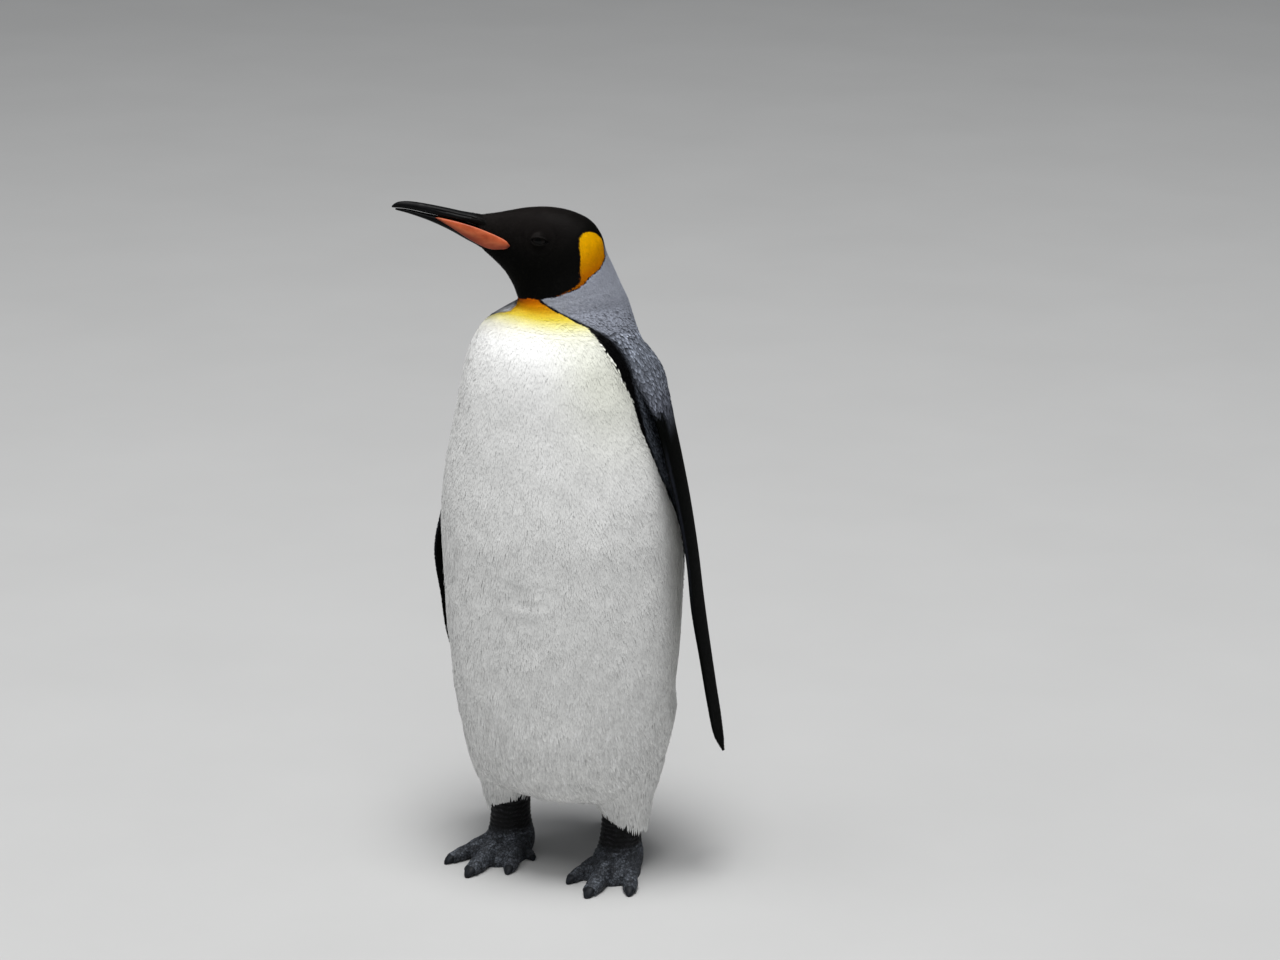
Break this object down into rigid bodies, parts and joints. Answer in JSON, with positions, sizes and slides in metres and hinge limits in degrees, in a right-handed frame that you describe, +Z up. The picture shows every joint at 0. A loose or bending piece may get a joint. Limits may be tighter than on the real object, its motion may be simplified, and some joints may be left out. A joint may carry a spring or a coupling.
{
  "type": "king penguin",
  "caption": "Life-size still model of an adult king penguin standing upright on both feet, flippers hanging, head turned to its right and bill a little raised.",
  "frame": {"origin": "centre of the outline seen from above, on the floor that the feet stand on", "axes": "+Z up through the bird, -Y the way the breast and feet face, +X towards the bird's left"},
  "size_m": [0.3556, 0.2682, 0.7873],
  "materials": {
    "body_plumage": "dense short feathers: silky white in front, slate grey behind",
    "hood_plumage": "velvety black-brown feathers with an orange ear patch",
    "flipper_plumage": "tight scale-like feathers, blue-black",
    "foot_skin": "dark slate skin with small scales and creases",
    "bill_horn": "satin slate-black horn",
    "bill_plate": "satin coral-pink horn plate",
    "eye": "wet dark brown eye",
    "claw": "satin black horn"
  },
  "bodies": {
    "root": {"trunk": "body_plumage", "neck": "body_plumage", "head": "hood_plumage", "bill_upper": "bill_horn", "bill_lower": "bill_horn", "bill_plate_left": "bill_plate", "bill_plate_right": "bill_plate", "eye_left": "eye", "eye_right": "eye", "flipper_left": "flipper_plumage", "flipper_right": "flipper_plumage", "tail": "flipper_plumage", "leg_left": "body_plumage", "leg_right": "body_plumage", "foot_left": "foot_skin", "foot_right": "foot_skin", "claw_outer_left": "claw", "claw_middle_left": "claw", "claw_inner_left": "claw", "claw_hind_left": "claw", "claw_outer_right": "claw", "claw_middle_right": "claw", "claw_inner_right": "claw", "claw_hind_right": "claw"}
  },
  "joints": []
}
